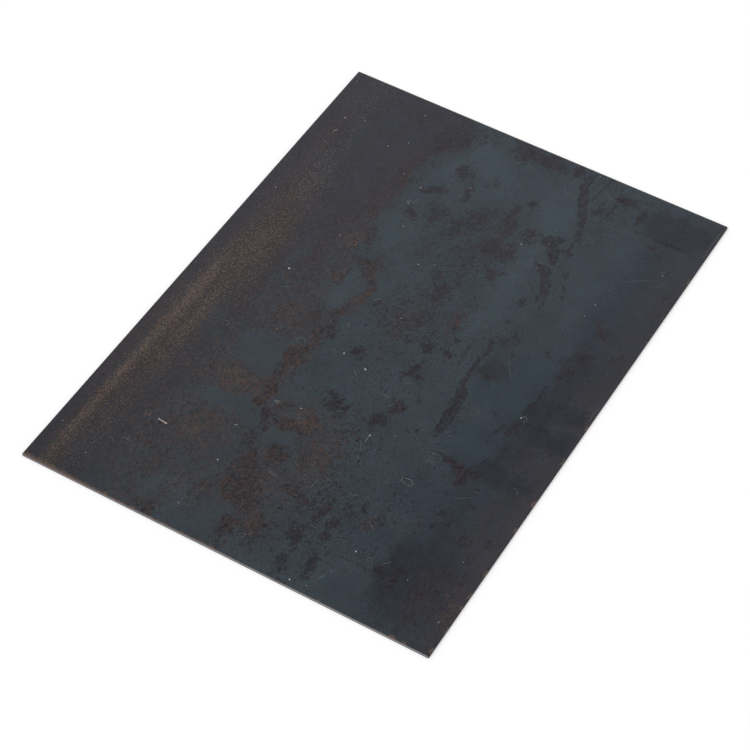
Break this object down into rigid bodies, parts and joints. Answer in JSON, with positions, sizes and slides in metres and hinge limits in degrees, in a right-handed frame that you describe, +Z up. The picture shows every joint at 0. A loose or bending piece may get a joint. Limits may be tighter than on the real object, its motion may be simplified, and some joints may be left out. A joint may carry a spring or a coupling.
{
  "type": "steel plate",
  "caption": "Thin flat rectangular plate of hot-rolled steel with mill scale and sheared edges, raw stock for cutting, bending or welding.",
  "frame": {"origin": "centre of the underside, on the plane that the plate lies on", "axes": "+X along the length, which is the rolling direction; +Y across the width; +Z up through the thickness, towards the scaled face that shows"},
  "size_m": [0.297, 0.21, 0.0015],
  "materials": {
    "hot_rolled_steel": "satin"
  },
  "bodies": {
    "root": {"steel_plate": "hot_rolled_steel"}
  },
  "joints": []
}
